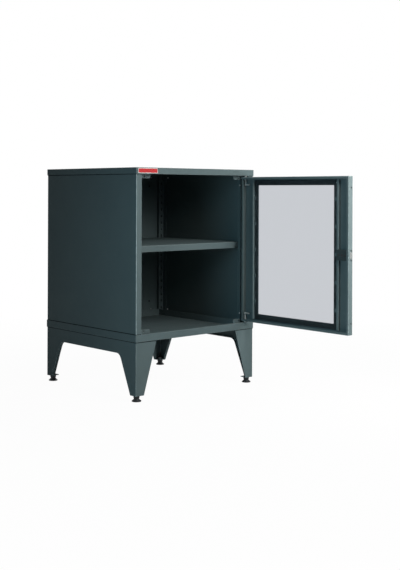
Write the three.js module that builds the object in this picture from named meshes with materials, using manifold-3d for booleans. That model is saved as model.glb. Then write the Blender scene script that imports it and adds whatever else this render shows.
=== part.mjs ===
// Free-standing sheet-steel side locker on four tapered legs, with one glazed door standing open
// at a right angle. Millimetres, +Z up, the front faces -Y and +X is to the viewer's right.
import * as THREE from 'three';
import { mergeVertices } from 'three/addons/utils/BufferGeometryUtils.js';
import Module from 'manifold-3d';

const wasm = await Module();
wasm.setup();

// Driving dimensions: the cabinet
const width = 630;
const depth = 600;
const bodyHeight = 663;
const legLength = 204.5;
const legLift = 22.5;
const sheet = 1.5;
const fit = 0.3;
const overcut = 1;
const topBand = 24.5;
const trayBand = 27.5;
const railDepth = 18;
const postWidth = 28;
const rearFlange = 20;
const linerRise = 30;
const backHole = 8;
const backHoleFromSide = 74;
const backHoleFromEnd = 68;

// Driving dimensions: columns, shelf and gussets
const columnReach = 29;
const columnDepth = 22;
const columnFlange = 21;
const frontColumnFace = 64;
const slotPitch = 30;
const slotWidth = 6;
const slotHeight = 12;
const firstSlot = 36;
const lastSlotMargin = 30;
const shelfRise = 300;
const shelfLip = 25;
const shelfGap = 2;
const clipWidth = 10;
const clipSheet = 2.5;
const clipReach = 16;
const clipHook = 9;
const gussetReach = 91;
const gussetRise = 41;
const gussetRadius = 8;
const gussetHoleFromEdge = 31;
const gussetHoleFromTop = 6.5;
const gussetHole = 7;
const stopGap = 2.2;

// Driving dimensions: the base and its levelling feet
const baseInset = 2;
const legTopWidth = 101;
const legFrontFoot = 40;
const legSideFoot = 35;
const apron = 53;
const archRadius = 20;
const archFlange = 11;
const baseTopFlange = 35;
const footPlate = 35;
const footPlateSide = 30.7;
const footPlateThick = 3;
const footFromCorner = 20;
const studDiameter = 10;
const studReach = 35;
const neckDiameter = 24;
const padDiameter = 37;
const padHeight = 10;
const padRim = 3;
const nutAcrossFlats = 17;
const nutHeight = 8;

// Driving dimensions: the door, its pane, lock and hinge bolts
const doorThick = 25;
const doorLip = 10;
const doorGapTop = 5.9;
const doorGapBottom = 5.1;
const doorGapFree = 2;
const doorGapHinge = 4;
const pinFromEdge = 7;
const pinFromFace = 8.5;
const doorAngle = Math.PI / 2;
const windowHingeMargin = 77;
const windowFreeMargin = 88.5;
const windowEndMargin = 34.5;
const gasketSide = 16.5;
const gasketEnd = 22;
const gasketThick = 2;
const paneThick = 4;
const hingeRailGap = 18;
const freeRailGap = 22.5;
const railWidth = 8.5;
const railHeight = 12;
const railEndGap = 3;
const paneTabs = 5;
const paneTabReach = 8;
const paneTabHeight = 12;
const lockFromEdge = 34.5;
const lockCaseReach = 60.5;
const lockCaseHeight = 40;
const lockCaseDepth = 20.5;
const lockWall = 2;
const lockEndWall = 3;
const lockBoltHeight = 26;
const lockBoltThick = 10;
const lockBoltFromSkin = 2.5;
const lockBoltTravel = 14;
const spindleDiameter = 10;
const knobReach = 28;
const knobLength = 28;
const knobThick = 12;
const knobBaseDiameter = 24;
const knobBaseThick = 4;
const edgeScrewHole = 7;
const edgeHoleFromEnd = 44;
const returnHole = 7;
const returnHoleFromEdge = 59;
const pinDiameter = 8;
const pinReach = 10;
const pinTravel = 12;
const pinCollarDiameter = 10;
const pinCollarThick = 2.2;
const pinHandleDrop = 35;
const pinHandleReach = 23;
const pinHandleDiameter = 6;
const guideWidth = 12.7;
const guideThick = 1.2;
const guideEarDrop = 29;
const guideEarThick = 2;
const guideEarReach = 13;
const guideFoot = 5;

// Driving dimensions: the blank plate on the top band
const badgeLength = 96;
const badgeHeight = 19;
const badgeThick = 1.2;
const badgeFromSide = 8;

// Levels and places worked out from the driving dimensions
const trayBase = legLift + legLength;
const trayTop = trayBase + trayBand;
const bodyTop = trayBase + bodyHeight;
const topBandBase = bodyTop - topBand;
const panelInset = sheet + fit;
const wallFace = panelInset + sheet + fit;
const wallBase = trayBase + sheet + fit;
const wallTop = bodyTop - sheet - fit;
const backFace = depth - panelInset - 2 * sheet - fit;
const baseTop = trayBase - fit;
const archTop = trayBase - apron;
const bore = 2 * fit;

const doorBase = trayTop + doorGapBottom;
const doorTop = topBandBase - doorGapTop;
const doorWidth = width - 2 * postWidth - doorGapFree - doorGapHinge;
const pinX = width - postWidth - doorGapHinge - pinFromEdge;
const pinY = pinFromFace;
const freeEdgeY = pinY + pinFromEdge - doorWidth;
const originY = (depth + freeEdgeY) / 2;

// Paint and materials
function finish(color, roughness, metalness) {
  return new THREE.MeshStandardMaterial({ color, roughness, metalness });
}
const paint = finish(0x3a4a52, 0.55, 0.1);
const zinc = finish(0xb9bdbf, 0.35, 0.9);
const black = finish(0x15181a, 0.6, 0.0);
const red = finish(0xb3262a, 0.4, 0.0);
const clear = finish(0xdfe6ea, 0.08, 0.0);
clear.transparent = true;
clear.opacity = 0.3;

// Solids: three.js geometry goes in, booleans join and cut it, and a closed mesh comes out
function solid(geometry) {
  const bare = geometry.clone();
  bare.deleteAttribute('normal');
  bare.deleteAttribute('uv');
  const merged = mergeVertices(bare, 1e-4);
  return new wasm.Manifold(new wasm.Mesh({
    numProp: 3,
    vertProperties: new Float32Array(merged.attributes.position.array),
    triVerts: new Uint32Array(merged.index.array),
  }));
}

function block([x0, x1], [y0, y1], [z0, z1]) {
  const geometry = new THREE.BoxGeometry(x1 - x0, y1 - y0, z1 - z0);
  geometry.translate((x0 + x1) / 2, (y0 + y1) / 2, (z0 + z1) / 2);
  return solid(geometry);
}

function outline(points) {
  return new THREE.Shape(points.map(([a, b]) => new THREE.Vector2(a, b)));
}

function extruded(shape, length) {
  return new THREE.ExtrudeGeometry(shape, { depth: length, bevelEnabled: false, curveSegments: 6 });
}

// A plan outline (x, y) raised from one level to another
function raised(points, [z0, z1]) {
  const geometry = extruded(outline(points), z1 - z0);
  geometry.translate(0, 0, z0);
  return solid(geometry);
}

// A side outline (y, z) drawn through from x0 to x1
function acrossX(shape, [x0, x1]) {
  const geometry = extruded(shape, x1 - x0);
  geometry.rotateY(Math.PI / 2);
  geometry.rotateX(Math.PI / 2);
  geometry.translate(x0, 0, 0);
  return solid(geometry);
}

// A front outline (x, z) drawn through from y0 to y1
function acrossY(shape, [y0, y1]) {
  const geometry = extruded(shape, y1 - y0);
  geometry.rotateX(Math.PI / 2);
  geometry.translate(0, y1, 0);
  return solid(geometry);
}

function rod(axis, diameter, [from, to], [a, b], sides = 24) {
  const geometry = new THREE.CylinderGeometry(diameter / 2, diameter / 2, to - from, sides);
  const middle = (from + to) / 2;
  if (axis === 'z') {
    geometry.rotateX(Math.PI / 2);
    geometry.translate(a, b, middle);
  } else if (axis === 'y') {
    geometry.translate(a, middle, b);
  } else {
    geometry.rotateZ(Math.PI / 2);
    geometry.translate(middle, a, b);
  }
  return solid(geometry);
}

function joined(pieces) {
  return pieces.reduce((sum, piece) => sum.add(piece));
}

function cut(body, cutters) {
  return cutters.reduce((rest, cutter) => rest.subtract(cutter), body);
}

function mesh(name, body, material) {
  const data = body.getMesh();
  const geometry = new THREE.BufferGeometry();
  geometry.setAttribute('position', new THREE.BufferAttribute(data.vertProperties, 3));
  geometry.setIndex(new THREE.BufferAttribute(data.triVerts, 1));
  geometry.computeVertexNormals();
  const node = new THREE.Mesh(geometry, material);
  node.name = name;
  return node;
}

// The left and right sides share one drawing: a place measured inwards from the side
const sides = [
  { name: 'left', at: (inward) => inward },
  { name: 'right', at: (inward) => width - inward },
];

function span(side, from, to) {
  const ends = [side.at(from), side.at(to)];
  return ends.sort((a, b) => a - b);
}

// A stretch made longer at both ends
function grown([low, high], margin) {
  return [low - margin, high + margin];
}

const locker = new THREE.Group();
locker.position.set(-width / 2, -originY, 0);

// Top panel: a folded lid with a rail turned in behind its front band, bored for the upper hinge pin
function topPanel() {
  const shell = cut(block([0, width], [0, depth], [topBandBase, bodyTop]), [
    block([sheet, width - sheet], [sheet, depth - sheet], [topBandBase - overcut, bodyTop - sheet]),
  ]);
  const railLevels = [topBandBase, topBandBase + sheet];
  const rail = block(
    [postWidth + fit, width - postWidth - fit],
    [sheet / 2, railDepth],
    railLevels,
  );
  const pinHole = rod('z', pinDiameter + bore, grown(railLevels, overcut), [pinX, pinY]);
  return cut(shell.add(rail), [pinHole]);
}
locker.add(mesh('top_panel', topPanel(), paint));

// Bottom tray: an upturned pan with the same rail, bored for the lower hinge pin
function bottomTray() {
  const shell = cut(block([0, width], [0, depth], [trayBase, trayTop]), [
    block([sheet, width - sheet], [sheet, depth - sheet], [trayBase + sheet, trayTop + overcut]),
  ]);
  const railLevels = [trayTop - sheet, trayTop];
  const rail = block(
    [postWidth + fit, width - postWidth - fit],
    [sheet / 2, railDepth],
    railLevels,
  );
  const pinHole = rod('z', pinDiameter + bore, grown(railLevels, overcut), [pinX, pinY]);
  return cut(shell.add(rail), [pinHole]);
}
locker.add(mesh('bottom_tray', bottomTray(), paint));

// Side panels: a wall with a front post flange and a rear flange, standing inside both pans
function sidePanel(side) {
  const back = depth - panelInset;
  const plan = [
    [panelInset, panelInset],
    [postWidth, panelInset],
    [postWidth, panelInset + sheet],
    [panelInset + sheet, panelInset + sheet],
    [panelInset + sheet, back - sheet],
    [rearFlange, back - sheet],
    [rearFlange, back],
    [panelInset, back],
  ];
  return raised(plan.map(([x, y]) => [side.at(x), y]), [wallBase, wallTop]);
}
for (const side of sides) {
  locker.add(mesh(`${side.name}_side_panel`, sidePanel(side), paint));
}

// Back panel: a flat sheet in front of the side panels' rear flanges, with a hole near each corner
function backPanel() {
  const plate = [backFace, backFace + sheet];
  const holes = sides.flatMap((side) => [trayBase + backHoleFromEnd, bodyTop - backHoleFromEnd].map(
    (level) => rod('y', backHole, grown(plate, overcut), [side.at(backHoleFromSide), level], 16),
  ));
  return cut(block([wallFace, width - wallFace], plate, [wallBase, wallTop]), holes);
}
locker.add(mesh('back_panel', backPanel(), paint));

// Columns: four slotted uprights; each face looks at the shelf, with a flange along the side wall
const slotLevels = [];
for (let z = wallBase + firstSlot; z < wallTop - lastSlotMargin; z += slotPitch) {
  slotLevels.push(z);
}
const slotCentre = (wallFace + columnReach) / 2;
const rearColumnFace = depth - columnDepth;
const columnReturn = backFace - fit - rearColumnFace;
const ends = [
  { name: 'front', face: frontColumnFace, inward: 1 },
  { name: 'rear', face: rearColumnFace, inward: -1 },
];

function column(side, end) {
  const y = (inward) => end.face + end.inward * inward;
  const plan = [
    [columnReach, -columnReturn],
    [columnReach, 0],
    [wallFace + sheet, 0],
    [wallFace + sheet, columnFlange],
    [wallFace, columnFlange],
    [wallFace, -sheet],
    [columnReach - sheet, -sheet],
    [columnReach - sheet, -columnReturn],
  ];
  const body = raised(plan.map(([x, inward]) => [side.at(x), y(inward)]), [wallBase, wallTop]);
  const slots = slotLevels.map((level) => block(
    span(side, slotCentre - slotWidth / 2, slotCentre + slotWidth / 2),
    grown([end.face - sheet, end.face + sheet], overcut),
    [level - slotHeight / 2, level + slotHeight / 2],
  ));
  return cut(body, slots);
}

// Shelf clips: a tongue under the shelf's lip, with a neck through the slot and a hook behind it
const shelfSlot = Math.round(shelfRise / slotPitch);
const clipTop = slotLevels[shelfSlot] - slotHeight / 2 + fit + clipSheet;

function shelfClip(side, end) {
  const y = (inward) => end.face + end.inward * inward;
  const along = (from, to) => [y(from), y(to)].sort((a, b) => a - b);
  const neck = slotWidth / 2 - fit;
  const tongue = block(
    span(side, slotCentre - clipWidth / 2, slotCentre + clipWidth / 2),
    along(fit, clipReach),
    [clipTop - clipSheet, clipTop],
  );
  const through = block(
    span(side, slotCentre - neck, slotCentre + neck),
    along(-sheet - fit - clipSheet, clipReach / 2),
    [clipTop - clipSheet, clipTop],
  );
  const hook = block(
    span(side, slotCentre - neck, slotCentre + neck),
    along(-sheet - fit - clipSheet, -sheet - fit),
    [clipTop - clipSheet - clipHook, clipTop],
  );
  return joined([tongue, through, hook]);
}

for (const side of sides) {
  for (const end of ends) {
    locker.add(mesh(`${end.name}_${side.name}_column`, column(side, end), paint));
    locker.add(mesh(`${end.name}_${side.name}_shelf_clip`, shelfClip(side, end), zinc));
  }
}

// Shelf: a folded pan between the columns, resting on its four clips
function shelf() {
  const lipBase = clipTop + fit;
  const inset = wallFace + sheet + fit;
  const x = [inset, width - inset];
  const y = [frontColumnFace + shelfGap, rearColumnFace - shelfGap];
  return cut(block(x, y, [lipBase, lipBase + shelfLip]), [
    block(
      [x[0] + sheet, x[1] - sheet],
      [y[0] + sheet, y[1] - sheet],
      [lipBase - overcut, lipBase + shelfLip - sheet],
    ),
  ]);
}
locker.add(mesh('shelf', shelf(), paint));

// Corner gussets: four bored plates just behind the closed door, which stops against them
const gussetY = doorThick + stopGap;

function gusset(side, upper) {
  const seat = upper ? wallTop : wallBase;
  const tip = upper ? bodyTop - gussetRise : trayBase + gussetRise;
  const towardSeat = upper ? 1 : -1;
  const plate = new THREE.Shape();
  plate.moveTo(side.at(wallFace), seat);
  plate.lineTo(side.at(gussetReach), seat);
  plate.lineTo(side.at(gussetReach), tip + towardSeat * gussetRadius);
  plate.quadraticCurveTo(side.at(gussetReach), tip, side.at(gussetReach - gussetRadius), tip);
  plate.lineTo(side.at(wallFace), tip);
  const hole = rod(
    'y',
    gussetHole,
    grown([gussetY, gussetY + sheet], overcut),
    [side.at(gussetReach - gussetHoleFromEdge), tip + towardSeat * gussetHoleFromTop],
    16,
  );
  return cut(acrossY(plate, [gussetY, gussetY + sheet]), [hole]);
}
for (const side of sides) {
  locker.add(mesh(`lower_${side.name}_gusset`, gusset(side, false), paint));
  locker.add(mesh(`upper_${side.name}_gusset`, gusset(side, true), paint));
}

// Tray liner: the compartment's floor between the columns, turned up along its sides and back
function trayLiner() {
  const inset = columnReach + fit;
  const x = [inset, width - inset];
  const y = [gussetY + sheet + fit, rearColumnFace - fit];
  return cut(block(x, y, [wallBase, trayBase + linerRise]), [
    block(
      grown(x, -sheet),
      [y[0] - overcut, y[1] - sheet],
      [wallBase + sheet, trayBase + linerRise + overcut],
    ),
  ]);
}
locker.add(mesh('tray_liner', trayLiner(), paint));

// Base frames: each side is one folded sheet with an arch between a front and a rear leg
const legSlope = (legTopWidth - legSideFoot) / (archTop - legLift);
const slantFactor = Math.hypot(1, legSlope);

function archOutline(offset, foot) {
  const top = archTop + offset;
  const slant = (z) => baseInset + legSideFoot + (z - legLift) * legSlope - offset * slantFactor;
  const mirrored = (y) => depth - y;
  const shape = new THREE.Shape();
  shape.moveTo(slant(foot), foot);
  shape.lineTo(slant(top - archRadius), top - archRadius);
  shape.quadraticCurveTo(slant(top), top, slant(top) + archRadius, top);
  shape.lineTo(mirrored(slant(top) + archRadius), top);
  shape.quadraticCurveTo(mirrored(slant(top)), top, mirrored(slant(top - archRadius)), top - archRadius);
  shape.lineTo(mirrored(slant(foot)), foot);
  return shape;
}

function baseFrame(side) {
  const front = baseInset;
  const rear = depth - baseInset;
  const wall = block(span(side, baseInset, baseInset + sheet), [front, rear], [legLift, baseTop]);
  const inner = span(side, baseInset, baseInset + sheet + archFlange);
  const edge = acrossX(archOutline(sheet, legLift), inner);
  const arch = acrossX(archOutline(0, legLift - overcut), [side.at(0) - width, side.at(0) + width]);
  const leg = outline([
    [side.at(baseInset), legLift],
    [side.at(baseInset + legFrontFoot), legLift],
    [side.at(baseInset + legTopWidth), baseTop],
    [side.at(baseInset), baseTop],
  ]);
  const flange = block(
    span(side, baseInset, baseInset + baseTopFlange),
    [front, rear],
    [baseTop - sheet, baseTop],
  );
  return joined([
    cut(wall.add(edge), [arch]),
    acrossY(leg, [front, front + sheet]),
    acrossY(leg, [rear - sheet, rear]),
    flange,
  ]);
}
for (const side of sides) {
  locker.add(mesh(`${side.name}_base_frame`, baseFrame(side), paint));
}

// Levelling feet: a plate in each leg, a nut on it, a stud with a neck through both, and a flared pad
const plateInset = baseInset + sheet + fit;

function footPad(x, y) {
  const profile = [
    [0, 0],
    [padDiameter / 2, 0],
    [padDiameter / 2, padRim],
    [neckDiameter / 2, padHeight],
    [0, padHeight],
  ];
  const geometry = new THREE.LatheGeometry(profile.map(([r, z]) => new THREE.Vector2(r, z)), 24);
  geometry.rotateX(Math.PI / 2);
  geometry.translate(x, y, 0);
  return solid(geometry);
}

function foot(side, end) {
  const label = `${end.name}_${side.name}`;
  const fromEnd = (inward) => (end.inward > 0 ? inward : depth - inward);
  const x = side.at(footFromCorner);
  const y = fromEnd(footFromCorner);
  const plateTop = legLift + footPlateThick;
  const hole = rod('z', studDiameter + bore, grown([legLift, plateTop + nutHeight], overcut), [x, y]);
  const plate = block(
    span(side, plateInset, plateInset + footPlate),
    [fromEnd(plateInset), fromEnd(plateInset + footPlateSide)].sort((a, b) => a - b),
    [legLift, plateTop],
  );
  const hexAcrossCorners = nutAcrossFlats / Math.cos(Math.PI / 6);
  const nut = rod('z', hexAcrossCorners, [plateTop, plateTop + nutHeight], [x, y], 6);
  const stud = joined([
    rod('z', neckDiameter, [padHeight, legLift - fit], [x, y]),
    rod('z', studDiameter, [padHeight, legLift + studReach], [x, y]),
  ]);
  locker.add(mesh(`${label}_foot_plate`, cut(plate, [hole]), paint));
  locker.add(mesh(`${label}_foot_nut`, cut(nut, [hole]), zinc));
  locker.add(mesh(`${label}_foot_stud`, stud, zinc));
  locker.add(mesh(`${label}_foot_pad`, footPad(x, y), black));
}
for (const side of sides) {
  for (const end of ends) {
    foot(side, end);
  }
}

// Blank plate on the front band of the top panel
const badgeLevel = topBandBase + (topBand - badgeHeight) / 2;
const badge = block(
  [badgeFromSide, badgeFromSide + badgeLength],
  [-badgeThick, 0],
  [badgeLevel, badgeLevel + badgeHeight],
);
locker.add(mesh('badge_plate', badge, red));

// The door turns about its hinge pins. Its own frame has the pin axis at x = y = 0, the free edge
// towards -x and the outer face towards -y, as when it is shut.
const door = new THREE.Group();
door.position.set(pinX, pinY, 0);
door.rotation.z = doorAngle;
locker.add(door);

const hingeEdge = pinFromEdge;
const freeEdge = pinFromEdge - doorWidth;
const outerFace = -pinFromFace;
const innerFace = doorThick - pinFromFace;
const skin = outerFace + sheet;
const windowX = [freeEdge + windowFreeMargin, hingeEdge - windowHingeMargin];
const windowZ = [doorBase + windowEndMargin, doorTop - windowEndMargin];
const lockX = freeEdge + lockFromEdge;
const lockZ = (doorBase + doorTop) / 2;
const lockBoltY = [skin + lockBoltFromSkin, skin + lockBoltFromSkin + lockBoltThick];
const lockBoltZ = [lockZ - lockBoltHeight / 2, lockZ + lockBoltHeight / 2];
const edgeScrew = (lockCaseHeight - lockEndWall) / 2;

// Door pan: skin with a window, four returned edges and an inner lip
function doorPan() {
  const x = [freeEdge, hingeEdge];
  const z = [doorBase, doorTop];
  const edgeWall = grown([freeEdge, freeEdge + sheet], overcut);
  const edgeHoles = [
    lockZ - edgeScrew,
    lockZ + edgeScrew,
    doorBase + edgeHoleFromEnd,
    doorTop - edgeHoleFromEnd,
  ];
  return cut(block(x, [outerFace, innerFace], z), [
    block(grown(x, -sheet), [skin, innerFace - sheet], grown(z, -sheet)),
    block(grown(x, -doorLip), [0, innerFace + overcut], grown(z, -doorLip)),
    block(windowX, [outerFace - overcut, 0], windowZ),
    rod('z', pinDiameter + bore, grown(z, overcut), [0, 0]),
    rod('z', returnHole, grown(z, overcut), [freeEdge + returnHoleFromEdge, 0], 16),
    rod('y', spindleDiameter + bore, [outerFace - overcut, 0], [lockX, lockZ]),
    block(edgeWall, grown(lockBoltY, fit), grown(lockBoltZ, fit)),
    ...edgeHoles.map((level) => rod('x', edgeScrewHole, edgeWall, [0, level], 16)),
  ]);
}
door.add(mesh('door_pan', doorPan(), paint));

// Window: a gasket on the skin and the pane on the gasket
const gasketY = [skin, skin + gasketThick];
const paneY = [gasketY[1], gasketY[1] + paneThick];
const paneX = grown(windowX, gasketSide);
const paneZ = grown(windowZ, gasketEnd);
const gasket = cut(block(paneX, gasketY, paneZ), [
  block(windowX, grown(gasketY, overcut), windowZ),
]);
door.add(mesh('pane_gasket', gasket, black));
door.add(mesh('door_pane', block(paneX, paneY, paneZ), clear));

// Pane rails: two upright channels beside the window, with tabs bent over the pane's edge
const railZ = grown([doorBase, doorTop], -doorLip - railEndGap);
const railTop = skin + railHeight;

function paneRail([x0, x1], windowSide, paneEdge) {
  const channel = cut(block([x0, x1], [skin, railTop], railZ), [
    block([x0 + sheet, x1 - sheet], [skin - overcut, railTop - sheet], grown(railZ, overcut)),
  ]);
  const tabRoot = windowSide > 0 ? x1 : x0;
  const tabEnd = paneEdge + windowSide * paneTabReach;
  const tabX = [tabRoot - windowSide * sheet / 2, tabEnd];
  const tabPitch = (windowZ[1] - windowZ[0]) / paneTabs;
  const tabs = Array.from({ length: paneTabs }, (_, index) => {
    const level = windowZ[0] + (index + 0.5) * tabPitch;
    return block(
      [...tabX].sort((a, b) => a - b),
      [paneY[1] + fit, paneY[1] + fit + sheet],
      [level - paneTabHeight / 2, level + paneTabHeight / 2],
    );
  });
  return joined([channel, ...tabs]);
}
const hingeRailX = windowX[1] + hingeRailGap;
const hingeRail = paneRail([hingeRailX, hingeRailX + railWidth], -1, paneX[1]);
door.add(mesh('hinge_side_pane_rail', hingeRail, paint));

// The free-side rail is notched around the lock case
const caseX = [freeEdge + sheet + fit, freeEdge + lockCaseReach];
const caseZ = [lockZ - lockCaseHeight / 2, lockZ + lockCaseHeight / 2];
const freeRailX = windowX[0] - freeRailGap;
const freeRail = cut(paneRail([freeRailX - railWidth, freeRailX], 1, paneX[0]), [
  block(grown(caseX, fit), [outerFace, innerFace], grown(caseZ, fit)),
]);
door.add(mesh('free_side_pane_rail', freeRail, paint));

// Lock: a case on the skin, a bolt that slides out through the free edge, and a knob on a spindle
const caseY = [skin, skin + lockCaseDepth];

function lockCase() {
  return cut(block(caseX, caseY, caseZ), [
    block(
      [caseX[0] - overcut, caseX[1] - lockWall],
      [caseY[0] - overcut, caseY[1] - lockWall],
      grown(caseZ, -lockEndWall),
    ),
    rod('y', spindleDiameter + bore, grown(caseY, overcut), [lockX, lockZ]),
  ]);
}
door.add(mesh('lock_case', lockCase(), black));

function lockBolt() {
  const slack = spindleDiameter / 2 + fit;
  return cut(block([freeEdge, caseX[1] - lockWall - fit], lockBoltY, lockBoltZ), [
    block(
      [lockX - slack, lockX + slack + lockBoltTravel],
      grown(lockBoltY, overcut),
      [lockZ - slack, lockZ + slack],
    ),
  ]);
}
door.add(mesh('lock_bolt', lockBolt(), zinc));

function lockKnob() {
  const base = [outerFace - fit - knobBaseThick, outerFace - fit];
  return joined([
    rod('y', spindleDiameter, [base[0], caseY[1]], [lockX, lockZ]),
    rod('y', knobBaseDiameter, base, [lockX, lockZ]),
    block(
      [lockX - knobThick / 2, lockX + knobThick / 2],
      [outerFace - knobReach, base[1]],
      [lockZ - knobLength / 2, lockZ + knobLength / 2],
    ),
  ]);
}
door.add(mesh('lock_knob', lockKnob(), black));

// Hinge bolts: a pin with a collar and a bent handle, sliding in a guide behind the door's corner
function hingeEnd(name, doorEnd, outward) {
  const level = (inward) => doorEnd - outward * inward;
  const stretch = (from, to) => [level(from), level(to)].sort((a, b) => a - b);
  const collarTop = sheet + fit;
  const pin = joined([
    rod('z', pinDiameter, stretch(-pinReach, pinHandleDrop), [0, 0]),
    rod('z', pinCollarDiameter, stretch(collarTop, collarTop + pinCollarThick), [0, 0]),
    rod('x', pinHandleDiameter, [-pinHandleReach, 0], [0, level(pinHandleDrop - pinHandleDiameter / 2)]),
  ]);
  const guideTop = collarTop + pinCollarThick + pinTravel + fit;
  const guideX = [hingeEdge - sheet - fit - guideWidth, hingeEdge - sheet - fit];
  const guide = cut(joined([
    block(guideX, [skin, skin + guideThick], stretch(guideTop, guideEarDrop + guideFoot)),
    block(guideX, [skin, skin + guideEarReach], stretch(guideEarDrop - guideEarThick, guideEarDrop)),
  ]), [rod('z', pinDiameter + bore, stretch(guideTop, guideEarDrop + guideFoot), [0, 0])]);
  door.add(mesh(`${name}_hinge_bolt`, pin, zinc));
  door.add(mesh(`${name}_bolt_guide`, guide, paint));
}
hingeEnd('upper', doorTop, 1);
hingeEnd('lower', doorBase, -1);

export default locker;
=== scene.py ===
# Tool chest side locker: a folded steel cabinet on tapered legs, with one glazed door standing open.
# Metres, +Z up, the front faces -Y and +X is to the viewer's right.
import math

import bmesh
import bpy
from mathutils import Matrix, Vector


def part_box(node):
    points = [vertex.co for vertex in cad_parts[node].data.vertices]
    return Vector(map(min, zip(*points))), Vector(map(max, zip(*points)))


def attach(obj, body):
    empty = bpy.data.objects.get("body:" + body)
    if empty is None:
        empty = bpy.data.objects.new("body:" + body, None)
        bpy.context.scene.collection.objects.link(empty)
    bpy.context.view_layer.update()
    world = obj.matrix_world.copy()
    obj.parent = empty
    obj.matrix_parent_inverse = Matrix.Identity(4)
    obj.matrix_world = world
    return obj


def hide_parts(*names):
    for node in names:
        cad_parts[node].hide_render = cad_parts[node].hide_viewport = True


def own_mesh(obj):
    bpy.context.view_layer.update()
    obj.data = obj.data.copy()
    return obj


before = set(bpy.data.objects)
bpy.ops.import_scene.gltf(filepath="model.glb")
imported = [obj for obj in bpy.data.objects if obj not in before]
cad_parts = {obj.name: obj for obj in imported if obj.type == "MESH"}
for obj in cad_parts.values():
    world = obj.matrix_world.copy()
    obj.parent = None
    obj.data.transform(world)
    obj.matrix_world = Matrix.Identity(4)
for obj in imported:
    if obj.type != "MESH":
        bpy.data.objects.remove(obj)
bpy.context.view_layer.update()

# Studio: a white floor that keeps a faint shadow, under a white surround that shines only dimly.
# Soft lamps stand high and far before the front, close at its right, to the left and behind.
# The camera stands to the front left, rolled a little, and its picture is shifted down to the locker.
scene = bpy.context.scene
scene.view_settings.view_transform = "Standard"

camera_place = (-2.6646, -2.9448, 0.7987)
camera_turn = 0.73226
camera_roll = 0.00349
camera_lens = 62.656
camera_sensor = 36.0
camera_shift_x = 0.016
camera_shift_y = -0.16401
camera_reach = 100.0
camera_data = bpy.data.cameras.new("camera")
camera_data.sensor_width = camera_sensor
camera_data.lens = camera_lens
camera_data.shift_x = camera_shift_x
camera_data.shift_y = camera_shift_y
camera_data.clip_end = camera_reach
camera = bpy.data.objects.new("camera", camera_data)
camera.location = camera_place
camera.rotation_euler = (
    Matrix.Rotation(-camera_turn, 3, "Z")
    @ Matrix.Rotation(math.pi / 2, 3, "X")
    @ Matrix.Rotation(camera_roll, 3, "Z")
).to_euler()
scene.collection.objects.link(camera)
scene.camera = camera


def seen_directly(tree):
    """1 for what the camera sees straight, in a mirror or through glass, and 0 for plain light."""
    path = tree.nodes.new("ShaderNodeLightPath")
    either = tree.nodes.new("ShaderNodeMath")
    either.operation = "MAXIMUM"
    tree.links.new(path.outputs["Is Camera Ray"], either.inputs[0])
    tree.links.new(path.outputs["Is Glossy Ray"], either.inputs[1])
    any_of = tree.nodes.new("ShaderNodeMath")
    any_of.operation = "MAXIMUM"
    tree.links.new(either.outputs[0], any_of.inputs[0])
    tree.links.new(path.outputs["Is Transmission Ray"], any_of.inputs[1])
    return any_of.outputs[0]


surround_light = (0.55, 0.86, 1.0, 1.0)
surround_level = 0.02
surround_white = (1.0, 1.0, 1.0, 1.0)
world = bpy.data.worlds.new("surround")
scene.world = world
world.use_nodes = True
tree = world.node_tree
dim = tree.nodes["Background"]
dim.inputs["Color"].default_value = surround_light
dim.inputs["Strength"].default_value = surround_level
white = tree.nodes.new("ShaderNodeBackground")
white.inputs["Color"].default_value = surround_white
white.inputs["Strength"].default_value = 1.0
choice = tree.nodes.new("ShaderNodeMixShader")
tree.links.new(seen_directly(tree), choice.inputs["Fac"])
tree.links.new(dim.outputs[0], choice.inputs[1])
tree.links.new(white.outputs[0], choice.inputs[2])
tree.links.new(choice.outputs[0], tree.nodes["World Output"].inputs["Surface"])

floor_half = 20.0
floor_tone = (0.6, 0.6, 0.6, 1.0)
floor_near_glow = 0.97
floor_near = 0.8
floor_far = 2.6
floor_paint = bpy.data.materials.new("floor_paint")
floor_paint.use_nodes = True
tree = floor_paint.node_tree
matt = tree.nodes.new("ShaderNodeBsdfDiffuse")
matt.inputs["Color"].default_value = floor_tone
glow = tree.nodes.new("ShaderNodeEmission")
glow.inputs["Strength"].default_value = 1.0
place = tree.nodes.new("ShaderNodeTexCoord")
distance = tree.nodes.new("ShaderNodeVectorMath")
distance.operation = "LENGTH"
tree.links.new(place.outputs["Object"], distance.inputs[0])
fade = tree.nodes.new("ShaderNodeMapRange")
fade.inputs["From Min"].default_value = floor_near
fade.inputs["From Max"].default_value = floor_far
fade.inputs["To Min"].default_value = floor_near_glow
fade.inputs["To Max"].default_value = 1.0
tree.links.new(distance.outputs["Value"], fade.inputs["Value"])
share = tree.nodes.new("ShaderNodeMath")
share.operation = "MULTIPLY"
tree.links.new(seen_directly(tree), share.inputs[0])
tree.links.new(fade.outputs["Result"], share.inputs[1])
choice = tree.nodes.new("ShaderNodeMixShader")
tree.links.new(share.outputs[0], choice.inputs["Fac"])
tree.links.new(matt.outputs[0], choice.inputs[1])
tree.links.new(glow.outputs[0], choice.inputs[2])
tree.links.new(choice.outputs[0], tree.nodes["Material Output"].inputs["Surface"])
shape = bmesh.new()
bmesh.ops.create_grid(shape, x_segments=1, y_segments=1, size=floor_half)
floor_mesh = bpy.data.meshes.new("floor")
shape.to_mesh(floor_mesh)
shape.free()
floor_mesh.materials.append(floor_paint)
floor = bpy.data.objects.new("floor", floor_mesh)
scene.collection.objects.link(floor)


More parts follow.
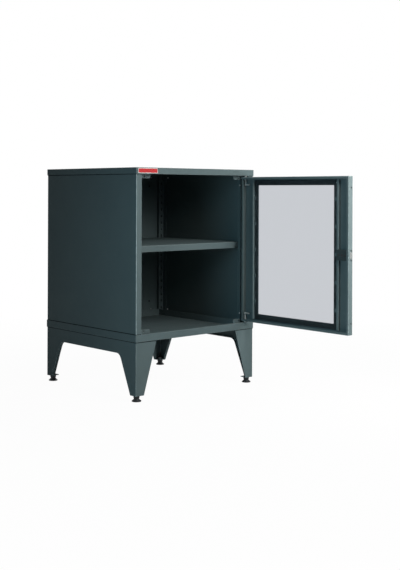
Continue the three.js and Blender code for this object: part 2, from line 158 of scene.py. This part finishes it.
def lamp(name, place, target, width, height, power, tint, spread=180.0):
    """A soft rectangular lamp aimed at a target, unseen itself, its power in watts."""
    data = bpy.data.lights.new(name, "AREA")
    data.shape = "RECTANGLE"
    data.size = width
    data.size_y = height
    data.energy = power
    data.color = tint
    data.spread = math.radians(spread)
    light = bpy.data.objects.new(name, data)
    light.visible_camera = False
    light.visible_transmission = False
    light.location = place
    aim = Vector(target) - Vector(place)
    light.rotation_euler = aim.to_track_quat("-Z", "Y").to_euler()
    scene.collection.objects.link(light)


lamp(
    "high_front_lamp", place=(0.05, -1.25, 1.5), target=(0.0, 0.0, 0.55), width=0.7, height=0.7,
    power=18.5, tint=(1.0, 0.96, 0.92),
)
lamp(
    "front_strip_lamp", place=(-0.02, -3.2, 1.75), target=(0.0, 0.3, 0.55), width=0.8, height=1.3,
    power=26.0, tint=(0.97, 0.97, 0.95),
)
lamp(
    "right_front_lamp", place=(0.75, -1.0, 0.7), target=(0.27, -0.57, 0.58), width=0.4, height=0.6,
    power=10.5, tint=(1.0, 1.0, 0.98),
)
lamp(
    "left_lamp", place=(-2.1, -0.7, 0.8), target=(-0.1, -0.62, 0.6), width=0.7, height=0.9,
    power=3.7, tint=(0.55, 0.86, 1.0), spread=76.0,
)
lamp(
    "rear_lamp", place=(2.4, 2.4, 1.8), target=(0.1, 0.3, 0.5), width=1.6, height=1.6,
    power=60.0, tint=(1.0, 0.98, 0.96),
)

# Base frames: each side is one steel sheet, folded round two tapered legs and turned in along its
# arch, then powder coated. Flanges at the top are screwed up into the tray.
paint_tone = (0.090, 0.123, 0.128, 1.0)
paint_second_tone = (0.082, 0.114, 0.120, 1.0)
# A lighter tone painted on the rounded folds and edges: partly a worn coat, mostly a painted
# highlight where the bends catch the light.
paint_highlight_and_rub_tone = (0.33, 0.40, 0.41, 1.0)
patch_detail = 3.0
grain_detail = 2.0
grain_strength = 0.35
# The painted highlight and worn coat on the edges break up in small patches.
edge_mark_size = 0.02
edge_mark_detail = 4.0
edge_mark_least = 0.55
edge_mark_most = 0.95


def finish(
    name, tone, second_tone, patch, rough, grain, relief, gloss=0.5, metal=0.0, highlight_and_rub_tone=None
):
    """A surface with soft patches of two tones, uneven gloss and a fine grain, sizes in metres."""
    material = bpy.data.materials.new(name)
    material.use_nodes = True
    tree = material.node_tree
    shader = tree.nodes["Principled BSDF"]
    shader.inputs["Specular IOR Level"].default_value = gloss
    shader.inputs["Metallic"].default_value = metal
    place = tree.nodes.new("ShaderNodeTexCoord")

    def mottle(size, detail):
        noise = tree.nodes.new("ShaderNodeTexNoise")
        noise.inputs["Scale"].default_value = 1.0 / size
        noise.inputs["Detail"].default_value = detail
        tree.links.new(place.outputs["Object"], noise.inputs["Vector"])
        return noise.outputs["Fac"]

    def ranged(value, low, high, start=0.35, end=0.65):
        spread = tree.nodes.new("ShaderNodeMapRange")
        spread.inputs["From Min"].default_value = start
        spread.inputs["From Max"].default_value = end
        spread.inputs["To Min"].default_value = low
        spread.inputs["To Max"].default_value = high
        tree.links.new(value, spread.inputs["Value"])
        return spread.outputs["Result"]

    def blended(amount, first, second):
        mix = tree.nodes.new("ShaderNodeMix")
        mix.data_type = "RGBA"
        tree.links.new(amount, mix.inputs["Factor"])
        for socket, colour in ((mix.inputs[6], first), (mix.inputs[7], second)):
            if isinstance(colour, tuple):
                socket.default_value = colour
            else:
                tree.links.new(colour, socket)
        return mix.outputs[2]

    colour = blended(ranged(mottle(patch, patch_detail), 0.0, 1.0), tone, second_tone)
    # Edges marked by the rounds turn towards the lighter tone in patches: a painted highlight, with
    # some worn coat.
    if highlight_and_rub_tone:
        edge = tree.nodes.new("ShaderNodeAttribute")
        edge.attribute_name = "edge_highlight_and_rub"
        edge_mark = tree.nodes.new("ShaderNodeMath")
        edge_mark.operation = "MULTIPLY"
        tree.links.new(edge.outputs["Fac"], edge_mark.inputs[0])
        patchy = ranged(mottle(edge_mark_size, edge_mark_detail), edge_mark_least, edge_mark_most)
        tree.links.new(patchy, edge_mark.inputs[1])
        colour = blended(edge_mark.outputs[0], colour, highlight_and_rub_tone)
    tree.links.new(colour, shader.inputs["Base Color"])
    tree.links.new(ranged(mottle(patch / 6, patch_detail), *rough), shader.inputs["Roughness"])
    bump = tree.nodes.new("ShaderNodeBump")
    bump.inputs["Strength"].default_value = grain_strength
    bump.inputs["Distance"].default_value = relief
    tree.links.new(mottle(grain, grain_detail), bump.inputs["Height"])
    tree.links.new(bump.outputs["Normal"], shader.inputs["Normal"])
    return material


powder_coat = finish(
    "powder_coat", paint_tone, paint_second_tone, patch=0.25, rough=(0.50, 0.54), grain=0.0011,
    relief=0.00018, gloss=0.05, highlight_and_rub_tone=paint_highlight_and_rub_tone,
)


def part_copy(node, merge_gap=0.00001, flat_angle=math.radians(1.0)):
    """The node's own shape as one mesh, with its flat triangles made whole faces again."""
    shape = bmesh.new()
    shape.from_mesh(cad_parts[node].data)
    bmesh.ops.remove_doubles(shape, verts=shape.verts, dist=merge_gap)
    bmesh.ops.dissolve_limit(shape, angle_limit=flat_angle, verts=shape.verts, edges=shape.edges)
    # Each face's corners hold its share of painted highlight and worn coat, set where the edges are
    # rounded.
    shape.loops.layers.float.new("edge_highlight_and_rub")
    return shape


def rounded(shape, edges, radius, segments, highlight_and_rub=0.45):
    """The edges get a round of that radius, marked with how much painted highlight and worn coat they
    show.
    """
    made = bmesh.ops.bevel(
        shape, geom=edges, offset=radius, offset_type="OFFSET", segments=segments, profile=0.5,
        affect="EDGES", clamp_overlap=True, material=-1,
    )
    mark = shape.loops.layers.float["edge_highlight_and_rub"]
    for face in made["faces"]:
        for loop in face.loops:
            loop[mark] = highlight_and_rub


def slimness(face):
    """About the width of a long thin face, which is the sheet's own thickness at a cut edge."""
    return 2 * face.calc_area() / face.calc_perimeter()


def sharp_edges(shape, least=math.radians(40)):
    """The edges that turn by more than an angle."""
    return [e for e in shape.edges if e.is_manifold and e.calc_face_angle() > least]


def folded_sheet(
    node, fold=0.0022, crease=0.0007, cut_edge=0.00025, widest_cut=0.0028, highlight_and_rub=0.45
):
    """A folded sheet: rounds on its folds, tighter ones inside them, and eased cut edges."""
    shape = part_copy(node)
    for convex, radius, segments in ((True, fold, 4), (False, crease, 2)):
        folds = [
            e for e in sharp_edges(shape)
            if e.is_convex == convex and min(slimness(f) for f in e.link_faces) > widest_cut
        ]
        rounded(shape, folds, radius, segments, highlight_and_rub)
    rounded(shape, sharp_edges(shape), cut_edge, 1, highlight_and_rub)
    return shape


shading_break = math.radians(35)


def piece(name, shape, material, body, slot, *stands_for):
    """The finished shape as an object of the locker, riding on its body."""
    data = bpy.data.meshes.new(name)
    shape.to_mesh(data)
    shape.free()
    data.materials.append(material)
    data.polygons.foreach_set("use_smooth", [True] * len(data.polygons))
    data.set_sharp_from_angle(angle=shading_break)
    thing = bpy.data.objects.new(name, data)
    scene.collection.objects.link(thing)
    even = thing.modifiers.new("even_shading", "WEIGHTED_NORMAL")
    even.keep_sharp = True
    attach(thing, body)
    if stands_for:
        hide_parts(*stands_for)
    return thing


# The side panels' and base frames' folds carry the strongest painted highlight.
full_highlight_and_rub = 1.0
for side in ("left", "right"):
    node = f"{side}_base_frame"
    shape = folded_sheet(node, highlight_and_rub=full_highlight_and_rub)
    piece(f"{node}_sheet", shape, powder_coat, "cabinet", "painted_steel", node)

# Levelling feet: a plate welded in each leg's tip, a nut on it, and a threaded stud on a flared
# plastic pad. The stud turns through the plate and nut to level the locker.
stud_tone = (0.055, 0.058, 0.060, 1.0)
stud_second_tone = (0.042, 0.045, 0.047, 1.0)
black_zinc = finish(
    "black_zinc", stud_tone, stud_second_tone, patch=0.012, rough=(0.35, 0.5), grain=0.0008,
    relief=0.00005, metal=1.0,
)
black_tone = (0.012, 0.014, 0.016, 1.0)
black_second_tone = (0.017, 0.019, 0.021, 1.0)
black_plastic = finish(
    "black_plastic", black_tone, black_second_tone, patch=0.03, rough=(0.42, 0.58), grain=0.0006,
    relief=0.00008, gloss=0.25,
)


def eased(node, radius, segments=2):
    """A solid piece with all its sharp edges eased to one radius."""
    shape = part_copy(node)
    rounded(shape, sharp_edges(shape, math.radians(30)), radius, segments)
    return shape


def turned(profile, place, steps):
    """A turned shape from its profile of (radius, height), set down at a place."""
    shape = bmesh.new()
    points = [shape.verts.new((radius, 0.0, height)) for radius, height in profile]
    lines = [shape.edges.new(pair) for pair in zip(points, points[1:])]
    bmesh.ops.spin(
        shape, geom=points + lines, cent=(0, 0, 0), axis=(0, 0, 1), angle=2 * math.pi,
        steps=steps, use_merge=True,
    )
    bmesh.ops.remove_doubles(shape, verts=shape.verts, dist=0.000001)
    bmesh.ops.recalc_face_normals(shape, faces=shape.faces)
    bmesh.ops.transform(shape, matrix=place, verts=shape.verts)
    return shape


foot_plate_ease = 0.0005
foot_nut_ease = 0.0007
pad_radius = 0.0185
pad_neck = 0.0115
pad_height = 0.010
pad_steps = 48
collar_neck = pad_neck - 0.0012
collar_radius = 0.012
collar_ease = 0.0008
collar_gap = 0.0003
collar_steps = 32
stud_radius = 0.005
stud_steps = 24
thread_pitch = 0.0015
thread_depth = 0.0008
pad_profile = [
    (0.0, 0.0), (pad_radius - 0.0012, 0.0), (pad_radius - 0.0003, 0.0004), (pad_radius, 0.0012),
    (pad_radius, 0.0027), (pad_radius - 0.0004, 0.0035), (pad_radius - 0.0014, 0.0042),
    (0.0154, 0.0054), (0.0136, 0.0070), (0.0122, 0.0088), (pad_neck, pad_height), (0.0, pad_height),
]
for end in ("front", "rear"):
    for side in ("left", "right"):
        foot = f"{end}_{side}_foot"
        plate = f"{foot}_plate"
        nut = f"{foot}_nut"
        shape = eased(plate, foot_plate_ease)
        piece(f"{plate}_steel", shape, powder_coat, "cabinet", "painted_steel", plate)
        piece(f"{nut}_hex", eased(nut, foot_nut_ease), black_zinc, "cabinet", "zinc_steel", nut)
        low, high = (Vector(corner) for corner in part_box(f"{foot}_pad"))
        centre = Matrix.Translation(((low.x + high.x) / 2, (low.y + high.y) / 2, 0.0))
        piece(
            f"{foot}_pad_moulded", turned(pad_profile, centre, pad_steps), black_plastic, foot,
            "black_plastic", f"{foot}_pad",
        )
        stud_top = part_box(f"{foot}_stud")[1][2]
        collar_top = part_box(plate)[0][2] - collar_gap
        collar_profile = [
            (0.0, pad_height), (collar_neck, pad_height), (collar_neck, pad_height + 0.003),
            (collar_radius - collar_ease, pad_height + 0.004), (collar_radius, pad_height + 0.0048),
            (collar_radius, collar_top - collar_ease), (collar_radius - collar_ease, collar_top),
            (0.0, collar_top),
        ]
        shape = turned(collar_profile, centre, collar_steps)
        piece(f"{foot}_collar", shape, black_plastic, foot, "black_plastic")
        stud_profile = [(0.0, collar_top), (stud_radius - thread_depth, collar_top)]
        level = collar_top + thread_pitch / 2
        while level < stud_top - thread_pitch:
            stud_profile.append((stud_radius, level))
            stud_profile.append((stud_radius - thread_depth, level + thread_pitch / 2))
            level += thread_pitch
        stud_profile += [(stud_radius - thread_depth, stud_top), (0.0, stud_top)]
        piece(
            f"{foot}_stud_threaded", turned(stud_profile, centre, stud_steps), black_zinc, foot,
            "zinc_steel", f"{foot}_stud",
        )

# Bottom tray: a shallow pan folded from one sheet, its corners welded and ground, with a rail
# turned in behind its front band for the lower hinge pin.
piece(
    "bottom_tray_pan", folded_sheet("bottom_tray"), powder_coat, "cabinet", "painted_steel",
    "bottom_tray",
)

# Side panels: each a sheet with a post folded at the front and a flange at the rear, standing in
# the tray. The back panel is a flat sheet screwed to the rear flanges.
for side in ("left", "right"):
    node = f"{side}_side_panel"
    shape = folded_sheet(node, highlight_and_rub=full_highlight_and_rub)
    piece(f"{node}_sheet", shape, powder_coat, "cabinet", "painted_steel", node)
piece(
    "back_panel_sheet", folded_sheet("back_panel"), powder_coat, "cabinet", "painted_steel",
    "back_panel",
)

# Tray liner: the compartment's floor, one sheet turned up along its sides and back and laid in the
# tray between the columns.
piece(
    "tray_liner_sheet", folded_sheet("tray_liner"), powder_coat, "cabinet", "painted_steel",
    "tray_liner",
)

# Columns: four uprights folded from slotted strip and welded to the side panels. Their slots take
# the shelf's clips at a 30 mm pitch.
for end in ("front", "rear"):
    for side in ("left", "right"):
        node = f"{end}_{side}_column"
        piece(f"{node}_strip", folded_sheet(node), powder_coat, "cabinet", "painted_steel", node)

# Top panel: a folded lid with welded corners over the side panels, and a rail turned in behind its
# front band for the upper hinge pin.
piece(
    "top_panel_lid", folded_sheet("top_panel"), powder_coat, "cabinet", "painted_steel", "top_panel"
)

# Seams: a thin near-black strip laid along the joints from outside is painted shade for the
# shadow gaps there. It runs along both sides and round the front, under the lid's edge, over
# the tray's edge and under the tray.
# Near black with almost no gloss: painted shade in the seams' gaps and in the holes of the door's
# edge, and the back plugs' own tone.
shade_and_sealant_tone = (0.003, 0.004, 0.005, 1.0)
shade_and_sealant_second_tone = (0.004, 0.005, 0.006, 1.0)
seam_depth = 0.0010
seam_height = 0.0024
seam_ease = 0.0003
sealant_and_painted_shade = finish(
    "sealant_and_painted_shade", shade_and_sealant_tone, shade_and_sealant_second_tone, patch=0.02, rough=(0.6, 0.8), grain=0.001,
    relief=0.00005, gloss=0.02,
)


def seam(node, base):
    """Painted shade strips along the outer side and the front of a left or right node, from a level
    up.
    """
    low, high = (Vector(corner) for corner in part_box(node))
    outward = math.copysign(1.0, low.x + high.x)
    outer = high.x if outward > 0 else low.x
    inner = low.x if outward > 0 else high.x
    runs = (
        (outer, outer + outward * seam_depth, low.y - seam_depth, high.y),
        (inner, outer, low.y - seam_depth, low.y),
    )
    shape = bmesh.new()
    shape.loops.layers.float.new("edge_highlight_and_rub")
    for x0, x1, y0, y1 in runs:
        made = bmesh.ops.create_cube(shape, size=1.0)
        bmesh.ops.scale(shape, vec=(abs(x1 - x0), y1 - y0, seam_height), verts=made["verts"])
        middle = ((x0 + x1) / 2, (y0 + y1) / 2, base + seam_height / 2)
        bmesh.ops.translate(shape, vec=middle, verts=made["verts"])
    rounded(shape, list(shape.edges), seam_ease, 2)
    return shape


lid_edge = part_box("top_panel")[0][2]
tray_base, tray_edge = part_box("bottom_tray")[0][2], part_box("bottom_tray")[1][2]
for side in ("left", "right"):
    panel = f"{side}_side_panel"
    for name, node, base in (
        ("lid", panel, lid_edge - seam_height), ("tray", panel, tray_edge),
        ("base", f"{side}_base_frame", tray_base - seam_height),
    ):
        piece(f"{side}_{name}_seam_shade_strip", seam(node, base), sealant_and_painted_shade, "cabinet", "black_rubber")

# Gussets: four bored corner plates of painted sheet, welded behind the doorway's corners. The shut
# door stops against them.
for level in ("lower", "upper"):
    for side in ("left", "right"):
        node = f"{level}_{side}_gusset"
        piece(f"{node}_plate", folded_sheet(node), powder_coat, "cabinet", "painted_steel", node)

# Blank plate: a thin pale metal plate glued to the lid's front band, with an enamelled red face
# inside its rim.
plate_rim_tone = (0.62, 0.62, 0.60, 1.0)
plate_rim_second_tone = (0.56, 0.56, 0.55, 1.0)
plate_red = (0.40, 0.012, 0.014, 1.0)
plate_second_red = (0.35, 0.010, 0.012, 1.0)
plate_rim = 0.0016
plate_rim_ease = 0.0004
plate_face_step = 0.0004
plate_face_ease = 0.0003
pale_enamel = finish(
    "pale_enamel", plate_rim_tone, plate_rim_second_tone, patch=0.02, rough=(0.3, 0.4), grain=0.001,
    relief=0.00004,
)
red_enamel = finish(
    "red_enamel", plate_red, plate_second_red, patch=0.02, rough=(0.45, 0.55), grain=0.001,
    relief=0.00004, gloss=0.2,
)
shape = eased("badge_plate", plate_rim_ease)
piece("badge_plate_rim", shape, pale_enamel, "cabinet", "red_plate", "badge_plate")
low, high = (Vector(corner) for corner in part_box("badge_plate"))
size = high - low
middle = (low + high) / 2
face_size = (size.x - 2 * plate_rim, 2 * plate_face_step, size.z - 2 * plate_rim)
shape = bmesh.new()
shape.loops.layers.float.new("edge_highlight_and_rub")
bmesh.ops.create_cube(shape, size=1.0)
bmesh.ops.scale(shape, vec=face_size, verts=shape.verts)
rounded(shape, list(shape.edges), plate_face_ease, 2)
bmesh.ops.translate(shape, vec=(middle.x, low.y, middle.z), verts=shape.verts)
piece("badge_plate_face", shape, red_enamel, "cabinet", "red_plate")

# Shelf: a pan folded from one painted sheet. It rests on four zinc-plated clips that are hooked
# into the columns' slots.
zinc_tone = (0.60, 0.61, 0.62, 1.0)
zinc_second_tone = (0.50, 0.52, 0.54, 1.0)
zinc = finish(
    "zinc_plate", zinc_tone, zinc_second_tone, patch=0.012, rough=(0.26, 0.42), grain=0.0008,
    relief=0.00005, metal=1.0,
)
clip_ease = 0.0004
# The shelf's folds carry only a faint painted highlight.
shelf_highlight_and_rub = 0.2
for end in ("front", "rear"):
    for side in ("left", "right"):
        node = f"{end}_{side}_shelf_clip"
        piece(f"{node}_hook", eased(node, clip_ease), zinc, "cabinet", "zinc_steel", node)
shape = folded_sheet("shelf", highlight_and_rub=shelf_highlight_and_rub)
piece("shelf_pan", shape, powder_coat, "shelf", "painted_steel", "shelf")

# Door pan: one sheet with a window cut in its skin, folded back on four sides and in again to a lip,
# its corners welded. It hangs on two spring bolts.
piece("door_pan_sheet", folded_sheet("door_pan"), powder_coat, "door", "painted_steel", "door_pan")

# Window: a clear plastic pane on a black rubber gasket, held by two upright rails whose bent tabs
# press on the pane's edge.
rubber_tone = (0.070, 0.098, 0.104, 1.0)
rubber_second_tone = (0.064, 0.090, 0.096, 1.0)
gasket_ease = 0.0004
black_rubber = finish(
    "black_rubber", rubber_tone, rubber_second_tone, patch=0.05, rough=(0.7, 0.85), grain=0.0015,
    relief=0.0001,
)
shape = eased("pane_gasket", gasket_ease)
piece("pane_gasket_strip", shape, black_rubber, "door", "black_rubber", "pane_gasket")
pane_tone = (0.279, 0.307, 0.357, 1.0)
pane_second_tone = (0.272, 0.300, 0.350, 1.0)
pane_bend = 1.1
pane_cover = 0.5
pane_ease = 0.0006
clear_pane = finish(
    "clear_pane", pane_tone, pane_second_tone, patch=0.4, rough=(0.02, 0.04), grain=0.05,
    relief=0.00001,
)
shader = clear_pane.node_tree.nodes["Principled BSDF"]
shader.inputs["Transmission Weight"].default_value = 1.0
shader.inputs["Alpha"].default_value = pane_cover
shader.inputs["IOR"].default_value = pane_bend
shape = eased("door_pane", pane_ease)
piece("door_pane_clear", shape, clear_pane, "door", "clear_sheet", "door_pane")
rail_fold = 0.0018
for side in ("hinge", "free"):
    node = f"{side}_side_pane_rail"
    shape = folded_sheet(node, rail_fold)
    piece(f"{node}_channel", shape, powder_coat, "door", "painted_steel", node)

# Lock: a black case screwed to the door's skin, a zinc bolt that slides out through the free edge,
# and a moulded knob on a spindle outside.
case_tone = (0.030, 0.043, 0.045, 1.0)
case_second_tone = (0.026, 0.038, 0.040, 1.0)
case_ease = 0.0011
dark_casting = finish(
    "dark_casting", case_tone, case_second_tone, patch=0.02, rough=(0.5, 0.6), grain=0.0008,
    relief=0.00008, gloss=0.08,
)
shape = eased("lock_case", case_ease, 3)
piece("lock_case_moulded", shape, dark_casting, "door", "black_plastic", "lock_case")
dull_tone = (0.085, 0.092, 0.092, 1.0)
dull_second_tone = (0.075, 0.082, 0.082, 1.0)
bolt_ease = 0.0007
dull_zinc = finish(
    "dull_zinc", dull_tone, dull_second_tone, patch=0.015, rough=(0.4, 0.55), grain=0.0008,
    relief=0.00005, gloss=0.3,
)
shape = eased("lock_bolt", bolt_ease)
piece("lock_bolt_bar", shape, dull_zinc, "lock_bolt", "zinc_steel", "lock_bolt")
knob_ease = 0.0016
shape = eased("lock_knob", knob_ease, 3)
piece("lock_knob_moulded", shape, black_plastic, "lock_knob", "black_plastic", "lock_knob")

# Hinge bolts: a zinc pin with a collar and a bent handle, pushed out by a coil spring against a
# folded guide that is welded in the door's corner.
pin_tone = (0.34, 0.36, 0.355, 1.0)
pin_second_tone = (0.30, 0.32, 0.315, 1.0)
greased_zinc = finish(
    "greased_zinc", pin_tone, pin_second_tone, patch=0.012, rough=(0.4, 0.5), grain=0.0008,
    relief=0.00004, gloss=0.3,
)
pin_ease = 0.0006
pin_collar_below = 0.004
pin_collar_radius = 0.005
guide_fold = 0.001
spring_wire = 0.0005
spring_wire_sides = 8
spring_radius = 0.0047
spring_turns = 5
spring_steps = 16


def coil(length, place):
    """A coil spring of round wire, standing on its lower end at the place."""
    shape = bmesh.new()
    bmesh.ops.create_circle(shape, cap_ends=False, radius=spring_wire, segments=spring_wire_sides)
    upright = Matrix.Rotation(math.pi / 2, 3, "X")
    bmesh.ops.rotate(shape, cent=(0, 0, 0), matrix=upright, verts=shape.verts)
    bmesh.ops.translate(shape, vec=(spring_radius, 0.0, spring_wire), verts=shape.verts)
    steps = spring_turns * spring_steps
    rise = (length - 2 * spring_wire) / steps
    bmesh.ops.spin(
        shape, geom=list(shape.verts) + list(shape.edges), cent=(0, 0, 0), axis=(0, 0, 1),
        dvec=(0, 0, rise), angle=2 * math.pi * spring_turns, steps=steps,
    )
    ends = [edge for edge in shape.edges if edge.is_boundary]
    bmesh.ops.holes_fill(shape, edges=ends, sides=0)
    bmesh.ops.recalc_face_normals(shape, faces=shape.faces)
    bmesh.ops.translate(shape, vec=place, verts=shape.verts)
    return shape


door_low, door_high = (Vector(corner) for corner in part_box("door_pan"))
for level, outward in (("upper", 1.0), ("lower", -1.0)):
    pin = f"{level}_hinge_bolt"
    guide = f"{level}_bolt_guide"
    piece(f"{pin}_pin", eased(pin, pin_ease), greased_zinc, pin, "zinc_steel", pin)
    shape = folded_sheet(guide, guide_fold)
    piece(f"{guide}_bracket", shape, powder_coat, "door", "painted_steel", guide)
    pin_low, pin_high = (Vector(corner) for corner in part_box(pin))
    guide_low, guide_high = (Vector(corner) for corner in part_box(guide))
    if outward > 0:
        seat = guide_high.z
        length = door_high.z - pin_collar_below - seat
        foot_level = seat
    else:
        seat = guide_low.z
        length = seat - door_low.z - pin_collar_below
        foot_level = seat - length
    axis = Vector(((pin_low.x + pin_high.x) / 2, pin_high.y - pin_collar_radius, foot_level))
    spring = piece(f"{level}_bolt_spring", coil(length, axis), greased_zinc, "door", "zinc_steel")
    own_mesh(spring)

# Screws and plugs: bright pan heads fix the panels to the tray, the lid and the columns, and dark
# ones the lock's case. Black plugs are pressed into the holes of the back panel, and near-black
# discs flush in the holes of the door's edge are painted shade.
screw_radius = 0.0036
screw_rise = 0.0022
screw_steps = 20
screw_profile = [
    (0.0, screw_rise - 0.0010), (0.0011, screw_rise - 0.0010), (0.0013, screw_rise),
    (0.0020, screw_rise - 0.0001), (0.0029, screw_rise - 0.0005), (0.0034, screw_rise - 0.0012),
    (screw_radius, 0.0), (0.0, 0.0),
]


def facing(direction, point):
    """Sets a turned shape at a point with its axis along a direction."""
    turn = Vector((0.0, 0.0, 1.0)).rotation_difference(Vector(direction)).to_matrix().to_4x4()
    return Matrix.Translation(point) @ turn


back_low = Vector(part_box("back_panel")[0])
tray_low = Vector(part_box("bottom_tray")[0])
top_high = Vector(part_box("top_panel")[1])
column_low = Vector(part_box("front_right_column")[0])
sheet_thickness = 0.0015
wall_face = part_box("right_side_panel")[1][0] - sheet_thickness
screw_low = tray_low.z + 0.030
screw_high = top_high.z - 0.029
back_screw_x = 0.2507
wall_screw_y = 0.5235
column_screw_y = column_low.y + 0.0046
column_screw_low = tray_low.z + 0.060
column_screw_high = top_high.z - 0.0645
for side, mirror in (("left", -1.0), ("right", 1.0)):
    for level, z, column_z in (
        ("lower", screw_low, column_screw_low), ("upper", screw_high, column_screw_high)
    ):
        spots = (
            ("back", (mirror * back_screw_x, back_low.y, z), (0, -1, 0)),
            ("wall", (mirror * wall_face, wall_screw_y, z), (-mirror, 0, 0)),
            ("column", (mirror * column_low.x, column_screw_y, column_z), (-mirror, 0, 0)),
        )
        for what, point, direction in spots:
            shape = turned(screw_profile, facing(direction, point), screw_steps)
            piece(f"{level}_{side}_{what}_screw", shape, zinc, "cabinet", "zinc_steel")

plug_profile = [
    (0.0, 0.0004), (0.0030, 0.0002), (0.0038, -0.0004), (0.0038, -0.0015), (0.0058, -0.0015),
    (0.0058, -0.0022), (0.0046, -0.0028), (0.0, -0.0030),
]
plug_steps = 24
plug_x = 0.241
plug_low = tray_low.z + 0.068
plug_high = top_high.z - 0.068
for side, mirror in (("left", -1.0), ("right", 1.0)):
    for level, z in (("lower", plug_low), ("upper", plug_high)):
        spot = facing((0, -1, 0), (mirror * plug_x, back_low.y, z))
        shape = turned(plug_profile, spot, plug_steps)
        piece(f"{level}_{side}_back_plug", shape, sealant_and_painted_shade, "cabinet", "black_rubber")

# Flush near-black discs in the door edge's holes: painted shade where the holes' own shade falls.
edge_hole_shade_profile = [
    (0.0, -0.00005), (0.0032, -0.00005), (0.0034, -0.0002), (0.0034, -0.0014), (0.0, -0.0014),
]
edge_hole_shade_steps = 20
edge_hole_shade_x = 0.276
lock_hole_shade_step = 0.0185
end_hole_shade_step = 0.256
for what, step in (("lock", lock_hole_shade_step), ("end", end_hole_shade_step)):
    for level, mirror in (("lower", -1.0), ("upper", 1.0)):
        z = (door_low.z + door_high.z) / 2 + mirror * step
        spot = facing((0, -1, 0), (edge_hole_shade_x, door_low.y, z))
        shape = turned(edge_hole_shade_profile, spot, edge_hole_shade_steps)
        piece(f"{level}_{what}_edge_hole_shade", shape, sealant_and_painted_shade, "door", "black_rubber")

case_low, case_high = (Vector(corner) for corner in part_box("lock_case"))
case_screw_step = 0.0155
lock_axis_y = (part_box("lock_knob")[0][1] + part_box("lock_knob")[1][1]) / 2
lock_axis_z = (case_low.z + case_high.z) / 2
for what, shift in (("inner", case_screw_step), ("outer", -case_screw_step)):
    spot = facing((-1, 0, 0), (case_low.x, lock_axis_y + shift, lock_axis_z))
    shape = turned(screw_profile, spot, screw_steps)
    piece(f"lock_case_{what}_screw", shape, black_plastic, "door", "black_plastic")
